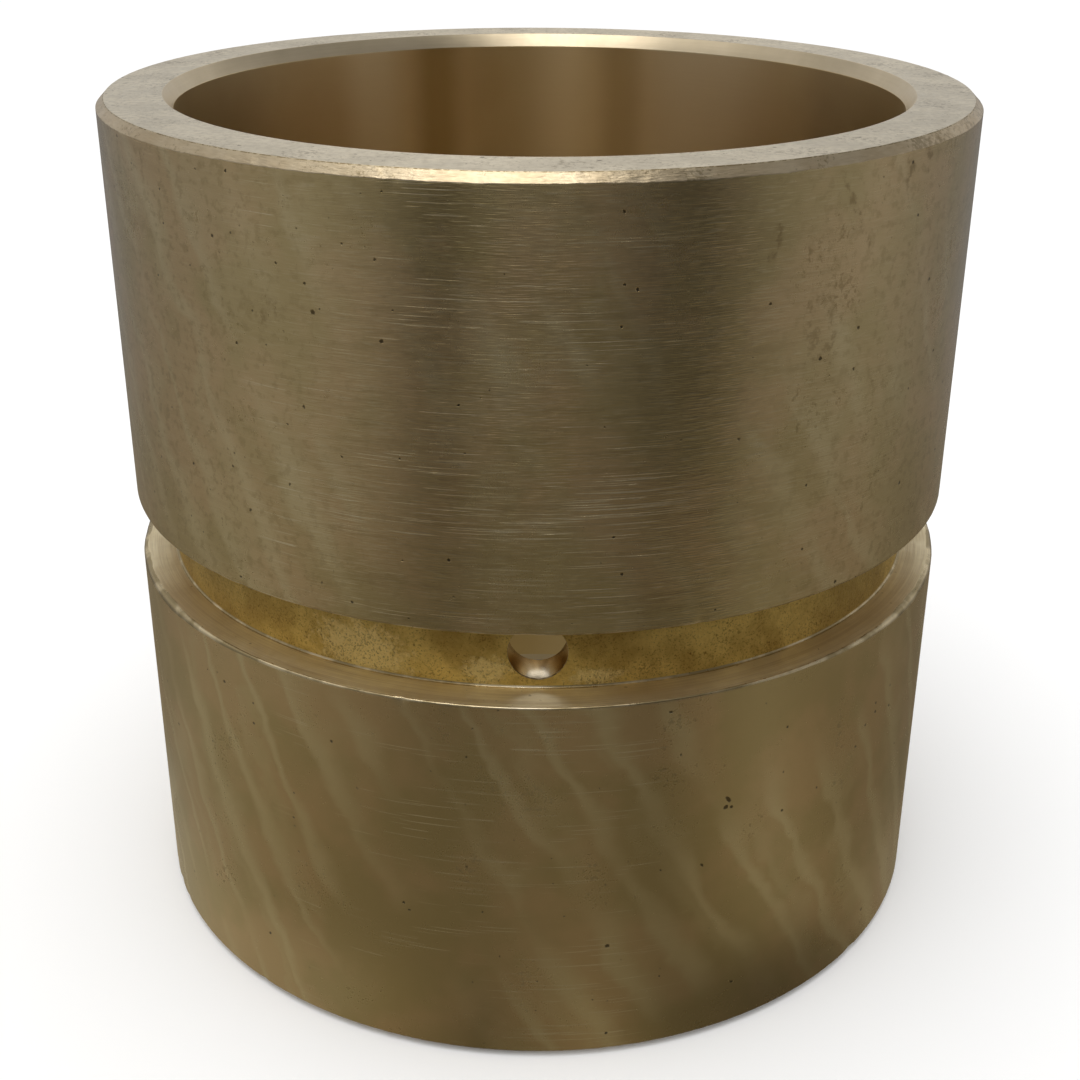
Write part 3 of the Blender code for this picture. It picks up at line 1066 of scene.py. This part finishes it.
def studio_surround():
    """A soft white room. The metal sees its walls and ceiling by direction, brightest behind."""
    world = bpy.data.worlds.new("studio_surround")
    bpy.context.scene.world = world
    world.use_nodes = True
    tree = world.node_tree
    tree.nodes.clear()
    direction = add(tree, "ShaderNodeTexCoord").outputs["Generated"]
    up = add(tree, "ShaderNodeSeparateXYZ", {"Vector": direction}).outputs["Z"]
    low_walls = tone_ramp(tree, direction, LOW_WALLS)
    high_walls = tone_ramp(tree, direction, HIGH_WALLS)
    ceiling = tone_ramp(tree, direction, CEILING)
    room = tint(tree, between(tree, up, 0.34, 0.50), low_walls, high_walls)
    room = tint(tree, between(tree, up, 0.66, 0.80), room, ceiling)
    room = tint(tree, between(tree, up, 0.94, 0.985), room, ZENITH)
    ray = add(tree, "ShaderNodeLightPath").outputs
    tone = tint(tree, ray["Is Glossy Ray"], WHITE, room)
    background = add(tree, "ShaderNodeBackground", {"Color": tone})
    output = add(tree, "ShaderNodeOutputWorld")
    tree.links.new(background.outputs["Background"], output.inputs["Surface"])


def soft_box(name, location, width, height, power):
    light = bpy.data.lights.new(name, "AREA")
    light.shape = "RECTANGLE"
    light.size = width
    light.size_y = height
    light.energy = power
    box = bpy.data.objects.new(name, light)
    box.location = location
    box.rotation_euler = (Vector(SOFT_BOX_AIM) - Vector(location)).to_track_quat("-Z", "Y").to_euler()
    bpy.context.scene.collection.objects.link(box)


def studio_camera():
    camera = bpy.data.objects.new("studio_camera", bpy.data.cameras.new("studio_camera"))
    bpy.context.scene.collection.objects.link(camera)
    camera.data.lens = CAMERA_LENS
    camera.data.clip_start = 0.01
    turn = Matrix.Rotation(-CAMERA_TURN, 4, "Z")
    tilt = Matrix.Rotation(math.pi / 2 - CAMERA_TILT_DOWN, 4, "X")
    roll = Matrix.Rotation(CAMERA_ROLL, 4, "Z")
    stand = Matrix.Translation((0.0, -CAMERA_BACK, CAMERA_HEIGHT))
    camera.matrix_world = stand @ turn @ tilt @ roll
    bpy.context.scene.camera = camera


def main():
    studio_camera()
    makers = [
        turned_outside,
        faced_end,
        outer_chamfer,
        bore_chamfer,
        rubbed_edge,
        grimy_edge,
        bore,
        groove_floor,
        groove_wall,
        drilled_hole,
    ]
    sleeve = finished_sleeve([make() for make in makers])
    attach(sleeve, "root")
    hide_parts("sleeve")

    studio_floor()
    studio_surround()
    for box in SOFT_BOXES:
        soft_box(*box)
    bpy.context.scene.view_settings.view_transform = "Standard"


main()
